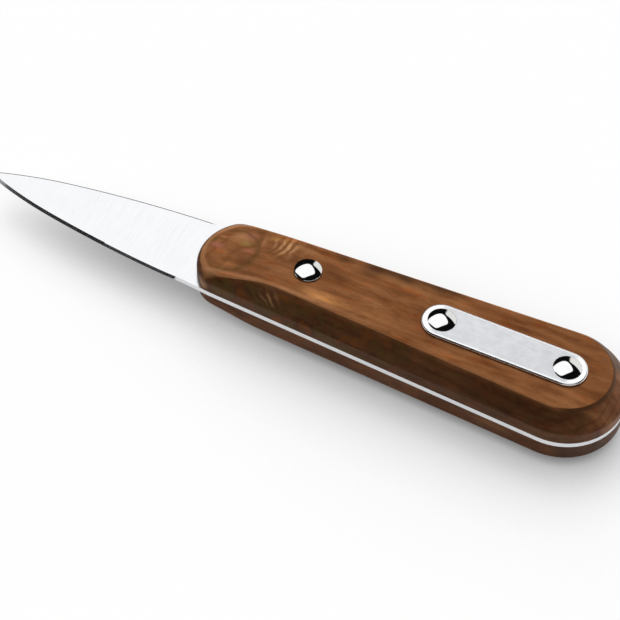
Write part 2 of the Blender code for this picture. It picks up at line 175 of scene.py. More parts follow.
# Plate steel. Its buffed border is measured inwards from the rim, and is wider beyond the rivets
PLATE_STEEL = (0.76, 0.775, 0.80)
PLATE_BUFFED = (0.94, 0.945, 0.955)
PLATE_LINES = Grain((0.16, 6.0, 6.0), 3.0, 0.65)
PLATE_LINE_CONTRAST = 0.07
PLATE_LINE_DEPTH = 0.10
PLATE_ROUGHNESS = (0.0, 1.0, 0.36, 0.20)
PLATE_MOTTLE = Grain((0.45, 0.6, 0.6), 3.0, 0.5, (2.0, 6.0, 1.0))
PLATE_MOTTLE_FADE = (0.38, 0.66, 0.0, 0.9)
PLATE_MOTTLE_TINT = (1.10, 1.10, 1.10)
PLATE_BORDER_MM, PLATE_BORDER_FULL_MM = 0.9, 0.4
PLATE_END_BORDER_MM, PLATE_END_BORDER_FULL_MM = 2.4, 1.2
PLATE_END_FADE_MM = (0.0, 2.2)

# Polished rivet steel, with the haze and hairlines that handling leaves
HEAD_STEEL, HEAD_ROUGHNESS = (0.88, 0.88, 0.885), 0.03
PIN_STEEL, PIN_ROUGHNESS = (0.74, 0.74, 0.75), 0.14
HAZE = Grain((0.8, 0.8, 0.8), 4.0, 0.6)
HAZE_COLOUR_FADE = (0.4, 0.75)
HAZE_DARKENING = 0.95
HAZE_LOW, HAZE_HIGH = 0.3, 0.7
HAZE_ROUGHENING = 1.6
HAIRLINES = Grain((0.5, 9.0, 2.0), 2.0, 0.5, (4.0, 1.0, 7.0))
HAIRLINE_FADE = (0.66, 0.74)
HAIRLINE_ROUGHNESS = 0.03

# Walnut: growth layers round a pith under the handle, a knot in the thumb ramp, and curly waves beside it
PITH_Y_MM = 3.0
PITH_Z_MM = -22.0
LAYER_SPACING_MM = 1.7
LAYER_TILT = 0.016
KNOT_X_MM = -17.5
KNOT_Y_MM = -0.2
KNOT_REACH_MM = 6.85
KNOT_RISE_MM = 1.0
BARK_INSIDE_MM = 0.3
WAVE_LENGTH_MM = 2.4
WAVE_LEAN = -0.42
WAVE_DROP = 1.3
NEAR_EDGE_MM = -7.55
NEAR_EDGE_WIDTH_MM = 1.1
LOWER_BOARD_SHIFT_MM = (31.0, 2.0, 47.0)
# The lower scale's walnut is darker all over: painted shade
LOWER_SCALE_SHADE_TONE = (0.9, 0.88, 0.86)

# Noises in the figure
BOARD_WANDER = Wander((0.03, 0.11, 0.09), (0.0, 3.0, 2.2))
FIGURE_WANDER = Wander((0.17, 0.19, 0.19), (1.5, 1.5, 0.0))
WAVE_WANDER = Wander((0.20, 0.24, 0.24), (5.0, 0.0, 0.0))
BROAD_BANDS = Grain((0.07, 0.24, 0.10), 2.0, 0.5, (7.0, 0.0, 3.0))
STREAKS = Grain((0.06, 0.62, 0.40), 3.0)
FIBRES = Grain((0.35, 6.0, 4.0), 3.0, 0.6)
PORES = Grain((0.40, 7.5, 5.5), 1.0, 0.5, (3.0, 9.0, 1.0))
BLOTCHES = Grain((0.24, 0.30, 0.2), 3.0, 0.5, (2.0, 2.0, 9.0))
WAVE_BREAKS = Grain((0.34, 0.28, 0.34), 2.0, 0.5, (3.0, 1.0, 5.0))
MOTTLE = Grain((0.20, 0.50, 0.45), 4.0, 0.55, (8.0, 4.0, 2.0))
FLECKS = Grain((0.16, 0.50, 0.4), 2.0, 0.5, (5.0, 2.0, 8.0))

# Colours in the figure
HEARTWOOD = [
    (0.34, (0.144, 0.050, 0.0155)), (0.44, (0.192, 0.072, 0.0240)), (0.51, (0.227, 0.089, 0.0315)),
    (0.58, (0.256, 0.104, 0.0380)), (0.68, (0.318, 0.140, 0.0520)),
]
PINK_HEART = (0.330, 0.120, 0.078)
GREEN_HEART = (0.270, 0.160, 0.048)
MOSS = (0.085, 0.055, 0.010)
GOLD = (0.345, 0.160, 0.042)
TAN = (0.430, 0.205, 0.095)
SAPWOOD = (0.500, 0.225, 0.078)
BARK = (0.120, 0.055, 0.014)
# Dark brown for the far patches and the line round the butt, and for the painted shade along the far corner
DARK_BROWN_AND_SHADE = (0.055, 0.023, 0.008)
MOSSY_BLOTCH = (0.215, 0.130, 0.030)
ORANGE_BLOTCH = (0.420, 0.140, 0.022)
WAVE_CREST = (0.580, 0.315, 0.140)
WAVE_TROUGH = (0.150, 0.058, 0.018)
# Edge wear and painted highlight on the corners
WORN_AND_HIGHLIT_CORNER = (0.450, 0.220, 0.100)
# Colour of the painted highlight under the nose's near corner
NOSE_HIGHLIGHT_COLOUR = (0.60, 0.34, 0.19)

# Tints that darken or lighten the colour under them
GROWTH_LINE_TINT = (0.50, 0.43, 0.30)
BUTT_TINT = (0.74, 0.70, 0.66)
# Painted shade on the near side
NEAR_SIDE_SHADE_TINT = (0.60, 0.56, 0.52)
LIGHT_MOTTLE_TINT = (1.20, 1.17, 1.12)
DARK_MOTTLE_TINT = (0.74, 0.69, 0.64)
# Painted shade on the nose's end
NOSE_END_SHADE_TINT = (0.42, 0.36, 0.32)
FLECK_TINT = (1.16, 0.84, 0.58)
FIBRE_TINT = (0.78, 0.74, 0.70)
PORE_TINT = (0.42, 0.34, 0.28)

# How strongly each layer of the figure shows
STREAK_SHARE, BAND_SHARE = 0.46, 0.54
BARK_SHARE = 0.68
# Edge wear and painted highlight along the near top edge
EDGE_WEAR_AND_HIGHLIGHT_SHARE = 0.55
SHOULDER_CURL_SHARE = 0.8
FIBRE_SHARE = 0.40
PORE_SHARE = 0.55
FIBRE_HEIGHT, PORE_HEIGHT = 0.35, -1.0
WALNUT_RELIEF, WALNUT_RELIEF_STRENGTH = 0.00004, 0.25
WALNUT_ROUGHNESS = (0.3, 0.7, 0.52, 0.40)
WALNUT_GLOSS = 0.13

# Where layers fade in: the start, where they are full, and the share at both unless it is 0 and 1
LINES_DOWN_SIDES_MM = (18.2, 16.2, 0.14, 0.45)
BARK_OPENING_MM = (KNOT_X_MM - 5.0, KNOT_X_MM - 1.5)
BARK_BREADTH_MM = (3.5, -4.0, 0.9, 1.7)
EDGE_WEAR_AND_HIGHLIGHT_ALONG_MM = (30.0, 4.0)
NEAR_SHADE_ACROSS_MM = (-8.0, -9.6)
NEAR_SHADE_DOWN_MM = (18.2, 17.2)
BLOTCHES_ALONG_MM = (45.0, 15.0, 0.25, 1.0)
BUTT_DARK_LINE_UP_MM = (17.2, 17.8)
LINE_RISE, LINE_FALL = (0.55, 0.88), (1.0, 0.92)
STRIPE_FADE = (0.40, 0.58, 0.25, 1.0)
MOSSY_FADE = (0.47, 0.58, 0.0, 0.75)
ORANGE_FADE = (0.46, 0.36, 0.0, 0.6)
WAVE_BREAK_FADE = (0.36, 0.58, 0.35, 1.0)
CREST_FADE = (0.10, 1.0, 0.0, 0.8)
TROUGH_FADE = (0.50, 0.0, 0.0, 0.45)
LIGHT_MOTTLE_FADE = (0.50, 0.66, 0.0, 0.7)
DARK_MOTTLE_FADE = (0.49, 0.34, 0.0, 0.7)
FLECK_FADE = (0.54, 0.70, 0.0, 0.55)
PORE_FADE = (0.62, 0.72)

# The same for layers that go by the way that the surface faces, along X and upwards
NOSE_END_X, NOSE_END_UP = (-0.30, -0.58), (0.90, 0.70)
CORNER_RISE_UP, CORNER_FALL_UP = (0.66, 0.80), (0.975, 0.93)
CORNER_WEAR_AND_HIGHLIGHT_X = (0.20, 0.0, 0.0, 0.45)
WEAR_AND_HIGHLIGHT_OFF_NOSE_END = (0.5, 0.0)
BUTT_DARK_CORNER_X = (0.04, 0.20, 0.0, 0.80)
BUTT_DARK_LINE_X, BUTT_DARK_LINE_UP = (0.10, 0.40, 0.0, 0.75), (0.95, 0.85)
# Painted shade along the far corner
FAR_SHADE_LEAN = -0.1
FAR_SHADE_OUT, FAR_SHADE_UP = (0.15, 0.38), (0.86, 0.70, 0.0, 0.85)

# Soft spots of the figure, with centre and reach in millimetres
Spot = namedtuple("Spot", "centre reach")
FigurePatch = namedtuple("FigurePatch", "centre reach colour strength")
KNOT_PATCHES = [
    FigurePatch((-16.8, 4.6, 15.6), (4.4, 2.6, 4.0), TAN, 0.60),
    FigurePatch((-14.6, 5.4, 16.0), (2.6, 1.8, 4.0), PINK_HEART, 0.85),
    FigurePatch((-13.6, 0.6, 16.2), (2.6, 1.0, 4.0), PINK_HEART, 0.75),
    FigurePatch((-21.5, 0.5, 14.5), (3.0, 1.2, 4.0), PINK_HEART, 0.85),
    FigurePatch((-15.1, 2.6, 15.9), (2.6, 1.2, 4.0), GREEN_HEART, 0.90),
    FigurePatch((-23.4, 2.4, 14.1), (1.6, 2.2, 4.0), MOSS, 0.70),
    FigurePatch((-21.0, 3.6, 14.6), (2.2, 0.8, 4.0), TAN, 0.45),
    FigurePatch((-10.9, 4.6, 16.9), (0.9, 3.0, 4.0), TAN, 0.45),
    FigurePatch((-8.4, 6.3, 17.4), (2.2, 1.5, 4.0), GOLD, 0.80),
]
FAR_PATCHES = [
    FigurePatch((9.5, 8.0, 18.2), (4.0, 2.6, 6.0), DARK_BROWN_AND_SHADE, 0.65),
    FigurePatch((18.0, 8.2, 18.2), (6.0, 3.8, 6.0), DARK_BROWN_AND_SHADE, 0.95),
    FigurePatch((25.0, 8.8, 18.2), (8.0, 3.8, 6.0), DARK_BROWN_AND_SHADE, 0.90),
    FigurePatch((34.0, 9.6, 18.2), (8.0, 3.2, 6.0), DARK_BROWN_AND_SHADE, 0.85),
]
# Painted highlight under the nose's near corner
NOSE_CORNER_HIGHLIGHT = FigurePatch((-20.8, -9.6, 11.3), (2.6, 2.6, 2.8), NOSE_HIGHLIGHT_COLOUR, 0.95)
SAPWOOD_STRIPE = FigurePatch((10.0, -5.6, 18.3), (10.0, 2.4, 6.0), SAPWOOD, 0.9)
DARKER_BUTT = Spot((84.0, 6.0, 18.0), (30.0, 20.0, 14.0))
KNOT_CURL = Spot((-4.6, 4.6, 17.6), (6.4, 5.6, 5.0))
SHOULDER_CURL = Spot((-3.0, -9.8, 15.4), (4.6, 3.4, 4.0))


def join(tree, node, links):
    """Gives each input of a node, by name or number, a socket to join or a value."""
    for key, value in links.items():
        if isinstance(value, bpy.types.NodeSocket):
            tree.links.new(value, node.inputs[key])
        else:
            node.inputs[key].default_value = value


def add_node(tree, kind, links=None, **settings):
    new = tree.nodes.new("ShaderNode" + kind)
    for key, value in settings.items():
        setattr(new, key, value)
    join(tree, new, links or {})
    return new


def maths(tree, operation, first, second=0.0, third=0.0, clamp=False):
    new = add_node(tree, "Math", {0: first, 1: second, 2: third}, operation=operation, use_clamp=clamp)
    return new.outputs[0]


def vector_maths(tree, operation, first, second=None):
    links = {0: first} if second is None else {0: first, 1: second}
    new = add_node(tree, "VectorMath", links, operation=operation)
    return new.outputs["Value" if operation in ("LENGTH", "DOT_PRODUCT") else "Vector"]


def product(tree, first, *others):
    for other in others:
        first = maths(tree, "MULTIPLY", first, other)
    return first


def remap(tree, value, low, high, to_low=0.0, to_high=1.0):
    """Turns the range low to high into to_low to to_high, eased at both ends."""
    links = {0: value, 1: low, 2: high, 3: to_low, 4: to_high}
    return add_node(tree, "MapRange", links, interpolation_type="SMOOTHSTEP", clamp=True).outputs[0]


def cover(tree, share, colour, paint, blend="MIX"):
    """Colour covered by a share of paint."""
    links = {0: share, 6: colour, 7: (*paint, 1.0)}
    return add_node(tree, "Mix", links, data_type="RGBA", blend_type=blend, clamp_result=False).outputs[2]


def stain(tree, share, colour, tint):
    """Colour multiplied by a share of tint."""
    return cover(tree, share, colour, tint, "MULTIPLY")


def colour_ramp(tree, value, stops):
    ramp = add_node(tree, "ValToRGB", {0: value})
    steps = ramp.color_ramp.elements
    while len(steps) < len(stops):
        steps.new(0.5)
    for step, (place, colour) in zip(steps, stops):
        step.position = place
        step.color = (*colour, 1.0)
    return ramp.outputs[0]


def split(tree, vector):
    """The three sockets of a vector: along X, across to Y and up."""
    return add_node(tree, "SeparateXYZ", {0: vector}).outputs


def stretched(tree, place, scale, shift=NO_SHIFT):
    """Place squeezed by a scale for each axis, for grain that runs one way."""
    return add_node(tree, "Mapping", {0: place, 1: shift, 3: scale}).outputs[0]


def grain_noise(tree, place, grain, output=0):
    links = {"Vector": stretched(tree, place, grain.scale, grain.shift), "Scale": 1.0,
             "Detail": grain.detail, "Roughness": grain.roughness}
    return add_node(tree, "TexNoise", links).outputs[output]


def soft_spot(tree, place, spot):
    """1 at a spot's centre, falling smoothly to 0 at its reach along each axis."""
    shift = tuple(-c / r for c, r in zip(spot.centre, spot.reach))
    inside = stretched(tree, place, tuple(1 / r for r in spot.reach), shift)
    return remap(tree, vector_maths(tree, "LENGTH", inside), 1.0, 0.0)


def patched(tree, place, colour, patches):
    """Colour with soft patches of other colours over it."""
    for patch in patches:
        share = product(tree, soft_spot(tree, place, patch), patch.strength)
        colour = cover(tree, share, colour, patch.colour)
    return colour


def new_finish(name):
    finish = bpy.data.materials.new(name)
    finish.use_nodes = True
    return finish, finish.node_tree, finish.node_tree.nodes["Principled BSDF"]


def relief(tree, strength, distance, height):
    """Bump from a height, for a shader's normal."""
    return add_node(tree, "Bump", {"Strength": strength, "Distance": distance, "Height": height}).outputs[0]


def millimetres(tree, shift=NO_SHIFT):
    """Object coordinates in millimetres."""
    return stretched(tree, add_node(tree, "TexCoord").outputs["Object"], (MM, MM, MM), shift)


def wandering(tree, place, wander):
    """Place pushed about by a slow noise, so that nothing drawn with it runs straight."""
    push = grain_noise(tree, place, Grain(wander.scale, WANDER_DETAIL), output="Color")
    push = vector_maths(tree, "SUBTRACT", push, NOISE_MIDDLE)
    push = vector_maths(tree, "MULTIPLY", push, wander.reach)
    return vector_maths(tree, "ADD", place, push)


def knot_distance(tree, place):
    """Distance in millimetres from the knot's axis, which stands upright in the thumb ramp."""
    flat = stretched(tree, place, (1.0, 1.0, 0.0), (-KNOT_X_MM, -KNOT_Y_MM, 0.0))
    return vector_maths(tree, "LENGTH", flat)


def growth_layers(tree, place, from_knot):
    """Where each point lies between two growth lines, from 0 to 1. The knot lifts the layers round it."""
    x, y, z = split(tree, place)
    across = maths(tree, "POWER", maths(tree, "SUBTRACT", y, PITH_Y_MM), 2.0)
    above = maths(tree, "MULTIPLY_ADD", x, LAYER_TILT, maths(tree, "SUBTRACT", z, PITH_Z_MM))
    layer = maths(tree, "SQRT", maths(tree, "ADD", across, maths(tree, "POWER", above, 2.0)))
    lift = maths(tree, "DIVIDE", maths(tree, "POWER", from_knot, 2.0), -KNOT_REACH_MM**2)
    layer = maths(tree, "MULTIPLY_ADD", maths(tree, "EXPONENT", lift), KNOT_RISE_MM, layer)
    return maths(tree, "FRACT", maths(tree, "DIVIDE", layer, LAYER_SPACING_MM))


def line_at(tree, value, middle, half_width):
    """1 where value is at middle, falling to 0 at half_width to either side."""
    away = maths(tree, "ABSOLUTE", maths(tree, "SUBTRACT", value, middle))
    return remap(tree, away, half_width, 0.0)


def curly_waves(tree, place):
    """Waves across the grain, from 0 to 1, where the fibres rise and dip."""
    x, y, z = split(tree, wandering(tree, place, WAVE_WANDER))
    lean = maths(tree, "MULTIPLY_ADD", y, WAVE_LEAN, x)
    turn = maths(tree, "MULTIPLY_ADD", z, WAVE_DROP, lean)
    wave = maths(tree, "SINE", product(tree, turn, 2 * math.pi / WAVE_LENGTH_MM))
    return maths(tree, "MULTIPLY_ADD", wave, 0.5, 0.5)


# A board of walnut, as each layer of the figure reads it
Board = namedtuple("Board", "tree place bent near along across height facing_x facing_y facing_up"
                            " from_knot nose_end streak fibre pores")


def sawn_board(tree, shift):
    """The board's place in millimetres, that place bent with the growth and bent more closely, the way that
    its surface faces, and the noises that several layers share."""
    place = millimetres(tree, shift)
    bent = wandering(tree, place, BOARD_WANDER)
    near = wandering(tree, place, FIGURE_WANDER)
    facing_x, facing_y, facing_up = split(tree, add_node(tree, "TexCoord").outputs["Normal"])
    nose_end = product(tree, remap(tree, facing_x, *NOSE_END_X), remap(tree, facing_up, *NOSE_END_UP))
    streak, fibre, pores = [grain_noise(tree, bent, grain) for grain in (STREAKS, FIBRES, PORES)]
    return Board(tree, place, bent, near, *split(tree, place), facing_x, facing_y, facing_up,
                 knot_distance(tree, near), nose_end, streak, fibre, remap(tree, pores, *PORE_FADE))


def heartwood(board):
    """Base colour, from dark lines to gold."""
    tree = board.tree
    bands = product(tree, grain_noise(tree, board.bent, BROAD_BANDS), BAND_SHARE)
    return colour_ramp(tree, maths(tree, "MULTIPLY_ADD", board.streak, STREAK_SHARE, bands), HEARTWOOD)


def growth_lines(board, colour):
    """Growth lines, faint along the top and stronger on the sloping sides."""
    tree = board.tree
    layer = growth_layers(tree, board.bent, board.from_knot)
    line = product(tree, remap(tree, layer, *LINE_RISE), remap(tree, layer, *LINE_FALL))
    shown = remap(tree, board.height, *LINES_DOWN_SIDES_MM)
    return stain(tree, product(tree, line, shown), colour, GROWTH_LINE_TINT)


def knot(board, colour):
    """Soft patches inside a dark bark line that is open towards the nose."""
    tree = board.tree
    colour = patched(tree, board.near, colour, KNOT_PATCHES)
    off_bark = maths(tree, "SUBTRACT", board.from_knot, KNOT_REACH_MM - BARK_INSIDE_MM)
    breadth = remap(tree, board.across, *BARK_BREADTH_MM)
    bark = remap(tree, maths(tree, "DIVIDE", maths(tree, "ABSOLUTE", off_bark), breadth), 1.0, 0.0)
    bark = product(tree, bark, remap(tree, board.along, *BARK_OPENING_MM), BARK_SHARE)
    return cover(tree, bark, colour, BARK)


def top_edges(board, colour):
    """Pale sapwood by the near edge, dark patches by the far edge, a darker butt, and a near edge lighter
    from wear and a painted highlight.
    """
    tree = board.tree
    stripe = product(tree, soft_spot(tree, board.bent, SAPWOOD_STRIPE),
                     remap(tree, board.streak, *STRIPE_FADE), SAPWOOD_STRIPE.strength)
    colour = cover(tree, stripe, colour, SAPWOOD_STRIPE.colour)
    colour = patched(tree, board.near, colour, FAR_PATCHES)
    colour = stain(tree, soft_spot(tree, board.place, DARKER_BUTT), colour, BUTT_TINT)
    # A light band along the near top edge: edge wear and a painted highlight
    wear_and_highlight = product(tree, line_at(tree, board.across, NEAR_EDGE_MM, NEAR_EDGE_WIDTH_MM),
                     remap(tree, board.along, *EDGE_WEAR_AND_HIGHLIGHT_ALONG_MM), EDGE_WEAR_AND_HIGHLIGHT_SHARE)
    return cover(tree, wear_and_highlight, colour, TAN)


def near_side_blotches_and_shade(board, colour):
    """Mossy and orange blotches on the near side, and a painted shade that darkens all of the near side."""
    tree = board.tree
    shaded_near_side = product(tree, remap(tree, board.across, *NEAR_SHADE_ACROSS_MM),
                        remap(tree, board.height, *NEAR_SHADE_DOWN_MM))
    blotched = product(tree, shaded_near_side, remap(tree, board.along, *BLOTCHES_ALONG_MM))
    blotch = grain_noise(tree, board.near, BLOTCHES)
    for fade, blotch_colour in ((MOSSY_FADE, MOSSY_BLOTCH), (ORANGE_FADE, ORANGE_BLOTCH)):
        share = product(tree, remap(tree, blotch, *fade), blotched)
        colour = cover(tree, share, colour, blotch_colour)
    # Painted shade: the whole near side is darkened, as if less light reached it
    return stain(tree, shaded_near_side, colour, NEAR_SIDE_SHADE_TINT)


def curl(board, colour):
    """Curly waves beside the knot and on the near shoulder."""
    tree = board.tree
    shoulder = product(tree, soft_spot(tree, board.near, SHOULDER_CURL), SHOULDER_CURL_SHARE)
    curled = maths(tree, "MAXIMUM", soft_spot(tree, board.near, KNOT_CURL), shoulder)
    wave = curly_waves(tree, board.place)
    broken = remap(tree, grain_noise(tree, board.place, WAVE_BREAKS), *WAVE_BREAK_FADE)
    crest = product(tree, remap(tree, wave, *CREST_FADE), curled, broken)
    trough = product(tree, remap(tree, wave, *TROUGH_FADE), curled)
    return cover(tree, trough, cover(tree, crest, colour, WAVE_CREST), WAVE_TROUGH)


def mottling(board, colour):
    tree = board.tree
    mottle = grain_noise(tree, board.near, MOTTLE)
    colour = stain(tree, remap(tree, mottle, *LIGHT_MOTTLE_FADE), colour, LIGHT_MOTTLE_TINT)
    return stain(tree, remap(tree, mottle, *DARK_MOTTLE_FADE), colour, DARK_MOTTLE_TINT)


def nose(board, colour):
    """Painted shade where the nose faces the blade, and a painted highlight under its near corner."""
    # Painted shade on the nose's end
    colour = stain(board.tree, board.nose_end, colour, NOSE_END_SHADE_TINT)
    # Painted highlight under the nose's near corner
    return patched(board.tree, board.place, colour, [NOSE_CORNER_HIGHLIGHT])


def open_grain(board, colour):
    """Orange flecks, fine fibres and open pores."""
    tree = board.tree
    fleck = remap(tree, grain_noise(tree, board.near, FLECKS), *FLECK_FADE)
    colour = stain(tree, fleck, colour, FLECK_TINT)
    colour = stain(tree, product(tree, board.fibre, FIBRE_SHARE), colour, FIBRE_TINT)
    return stain(tree, product(tree, board.pores, PORE_SHARE), colour, PORE_TINT)


def sanded_corners(board, colour):
    """Corners are lighter towards the blade, from wear and a painted highlight. They are darker in a line
    round the butt, and a painted shade darkens them along the far side.
    """
    tree = board.tree
    corner = product(tree, remap(tree, board.facing_up, *CORNER_RISE_UP),
                     remap(tree, board.facing_up, *CORNER_FALL_UP))
    # Lighter corners towards the blade: edge wear and a painted highlight
    wear_and_highlight = product(tree, corner, remap(tree, board.facing_x, *CORNER_WEAR_AND_HIGHLIGHT_X),
                     remap(tree, board.nose_end, *WEAR_AND_HIGHLIGHT_OFF_NOSE_END))
    colour = cover(tree, wear_and_highlight, colour, WORN_AND_HIGHLIT_CORNER)
    # A darker line round the butt's top corner
    butt_corner = product(tree, corner, remap(tree, board.facing_x, *BUTT_DARK_CORNER_X))
    under_corner = product(tree, remap(tree, board.height, *BUTT_DARK_LINE_UP_MM),
                           remap(tree, board.facing_up, *BUTT_DARK_LINE_UP))
    under_corner = product(tree, under_corner, remap(tree, board.facing_x, *BUTT_DARK_LINE_X))
    # Painted shade: a dark line along the far corner of the top
    outwards = maths(tree, "MULTIPLY_ADD", board.facing_x, FAR_SHADE_LEAN, board.facing_y)
    far_corner_shade = product(tree, remap(tree, outwards, *FAR_SHADE_OUT),
                         remap(tree, board.facing_up, *FAR_SHADE_UP))
    for darkened in (butt_corner, under_corner, far_corner_shade):
        colour = cover(tree, darkened, colour, DARK_BROWN_AND_SHADE)
    return colour


def walnut(name, shift, tone):
    """Oiled walnut. shift moves the board's figure in millimetres, tone darkens or lightens all of it."""
    finish, tree, shader = new_finish(name)
    board = sawn_board(tree, shift)
    colour = heartwood(board)
    for layer in (growth_lines, knot, top_edges, near_side_blotches_and_shade, curl, mottling, nose, open_grain, sanded_corners):
        colour = layer(board, colour)
    height = maths(tree, "MULTIPLY_ADD", board.fibre, FIBRE_HEIGHT, product(tree, board.pores, PORE_HEIGHT))
    join(tree, shader, {
        "Base Color": stain(tree, 1.0, colour, tone),
        "Roughness": remap(tree, board.streak, *WALNUT_ROUGHNESS),
        "Normal": relief(tree, WALNUT_RELIEF_STRENGTH, WALNUT_RELIEF, height),
        "Specular IOR Level": WALNUT_GLOSS,
    })
    return finish


def lined_shade(tree, line, colour, contrast):
    """Steel colour, a little darker and lighter from one fine line to the next."""
    dark, light = 1 - contrast, 1 + LINE_LIGHT_SHARE * contrast
    return colour_ramp(tree, line, [(LINE_DARK_AT, tuple(c * dark for c in colour)), (LINE_COLOUR_AT, colour),
                                    (LINE_LIGHT_AT, tuple(c * light for c in colour))])


def ground_steel(name, face_z):
    """Blade steel with lines across it. Below the polished face at face_z, the bevels and the tang's sides
    keep the wheel's duller grey."""
    finish, tree, shader = new_finish(name)
    place = millimetres(tree)
    height = split(tree, place)[2]
    line = grain_noise(tree, place, BLADE_LINES)
    clouded = remap(tree, grain_noise(tree, place, BLADE_CLOUDS), *BLADE_CLOUD_FADE)
    shade = stain(tree, clouded, lined_shade(tree, line, BLADE_STEEL, BLADE_LINE_CONTRAST), BLADE_CLOUD_TINT)
    join(tree, shader, {
        "Base Color": shade,
        "Metallic": remap(tree, height, face_z * MM - GROUND_SIDE_MM, face_z * MM - FACE_EDGE_MM,
                          GROUND_SIDE_METALLIC, 1.0),
        "Roughness": remap(tree, line, *BLADE_ROUGHNESS),
        "Normal": relief(tree, BLADE_LINE_DEPTH, STEEL_RELIEF, line),
    })
    return finish


def satin_steel(name, node):
    """Plate steel whose border is buffed brighter, most of all round its two rivets."""
    low, high = [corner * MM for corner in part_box(node)]
    radius = (high.y - low.y) / 2
    half_span = (high.x - low.x) / 2 - radius
    finish, tree, shader = new_finish(name)
    place = millimetres(tree)
    x, y = split(tree, place)[:2]
    along = maths(tree, "ABSOLUTE", maths(tree, "SUBTRACT", x, (low.x + high.x) / 2))
    past_end = maths(tree, "MAXIMUM", maths(tree, "SUBTRACT", along, half_span), 0.0)
    from_middle = maths(tree, "SQRT", maths(tree, "ADD", maths(tree, "POWER", past_end, 2.0),
                                          maths(tree, "POWER", y, 2.0)))
    border = remap(tree, from_middle, radius - PLATE_BORDER_MM, radius - PLATE_BORDER_FULL_MM)
    end_border = remap(tree, from_middle, radius - PLATE_END_BORDER_MM, radius - PLATE_END_BORDER_FULL_MM)
    ends = product(tree, remap(tree, past_end, *PLATE_END_FADE_MM), end_border)
    buffed = maths(tree, "MAXIMUM", border, ends)

    line = grain_noise(tree, place, PLATE_LINES)
    mottled = remap(tree, grain_noise(tree, place, PLATE_MOTTLE), *PLATE_MOTTLE_FADE)
    shade = stain(tree, mottled, lined_shade(tree, line, PLATE_STEEL, PLATE_LINE_CONTRAST), PLATE_MOTTLE_TINT)
    join(tree, shader, {
        "Base Color": cover(tree, buffed, shade, PLATE_BUFFED),
        "Metallic": 1.0,
        "Roughness": remap(tree, buffed, *PLATE_ROUGHNESS),
        "Normal": relief(tree, PLATE_LINE_DEPTH, STEEL_RELIEF, line),
    })
    return finish


def polished_steel(name, colour, roughness):
    """Polished steel with a faint haze and hairlines."""
    finish, tree, shader = new_finish(name)
    place = millimetres(tree)
    haze = grain_noise(tree, place, HAZE)
    hairline = remap(tree, grain_noise(tree, place, HAIRLINES), *HAIRLINE_FADE)
    hazed = remap(tree, haze, HAZE_LOW, HAZE_HIGH, roughness, roughness * HAZE_ROUGHENING)
    hazy_colour = tuple(c * HAZE_DARKENING for c in colour)
    join(tree, shader, {
        "Base Color": cover(tree, remap(tree, haze, *HAZE_COLOUR_FADE), (*colour, 1.0), hazy_colour),
        "Metallic": 1.0,
        "Roughness": maths(tree, "MULTIPLY_ADD", hairline, HAIRLINE_ROUGHNESS, hazed),
    })
    return finish


def add_object(name, data):
    made = bpy.data.objects.new(name, data)
    bpy.context.scene.collection.objects.link(made)
    return made


def add_mesh(bm, name, finish):
    """Makes the bmesh an object with one finish."""
    mesh = bpy.data.meshes.new(name)
    bm.to_mesh(mesh)
    bm.free()
    mesh.materials.append(finish)
    return add_object(name, mesh)


def finish_piece(bm, name, finish, stands_for, crease):
    """Makes the bmesh one shown piece that rides with the knife and stands for a CAD node."""
    bmesh.ops.recalc_face_normals(bm, faces=bm.faces)
    piece = add_mesh(bm, name, finish)
    piece.data.shade_smooth()
    piece.data.set_sharp_from_angle(angle=math.radians(crease))
    shading = piece.modifiers.new("flat_faces_stay_flat", "WEIGHTED_NORMAL")
    shading.keep_sharp = True
    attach(piece, "root")
    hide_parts(stands_for)


def merged_copy(node):
    """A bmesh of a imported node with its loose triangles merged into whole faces."""
    bm = bmesh.new()
    bm.from_mesh(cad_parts[node].data)
    bmesh.ops.remove_doubles(bm, verts=bm.verts, dist=SAME_PLACE)
    bmesh.ops.dissolve_limit(bm, angle_limit=math.radians(FLAT_FACE), verts=bm.verts, edges=bm.edges,
                             use_dissolve_boundaries=False)
    return bm


def close_wall(bm, radius, first_x, last_x, middle_y):
    """Draws an upright wall in to a bench fit. It stands a seat gap outside a radius, round the line from
    first_x to last_x."""
    for vert in bm.verts:
        along = min(max(vert.co.x, first_x), last_x)
        out = Vector((vert.co.x - along, vert.co.y - middle_y))
        if abs(out.length - radius - SEAT_GAP) < SEAT_TOLERANCE:
            out *= (radius + RIVET_FIT) / out.length
            vert.co.x, vert.co.y = along + out.x, middle_y + out.y


def close_seats(bm):
    """Closes the seats of the three rivet heads."""
    for number in RIVET_NUMBERS:
        low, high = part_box(f"rivet_{number}_head")
        centre = (low + high) / 2
        close_wall(bm, (high.x - low.x) / 2, centre.x, centre.x, centre.y)


def close_pocket(bm):
    """Closes the plate's pocket, which lies on the knife's middle line."""
    low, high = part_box("plate")
    radius = (high.y - low.y) / 2
    close_wall(bm, radius, low.x + radius, high.x - radius, 0.0)


def break_edges(bm, edges, width, segments=2):
    """Rounds edges over a little, as a file or sandpaper leaves them."""
    return bmesh.ops.bevel(bm, geom=edges, offset=width, offset_type="OFFSET", segments=segments,
                           profile=0.5, affect="EDGES", material=-1, clamp_overlap=True)


def square_edges_at(bm, height):
    """Edges that lie level at a height and have a square corner."""
    return [edge for edge in bm.edges if len(edge.link_faces) == 2
            and all(abs(vert.co.z - height) < SAME_PLACE for vert in edge.verts)
            and edge.calc_face_angle(0.0) > math.radians(SQUARE_CORNER)]


def seat_on_tang(bm, inner_z, seat_z):
    """Draws a scale's inner face onto the tang."""
    for vert in bm.verts:
        if abs(vert.co.z - inner_z) < SAME_PLACE:
            vert.co.z = seat_z


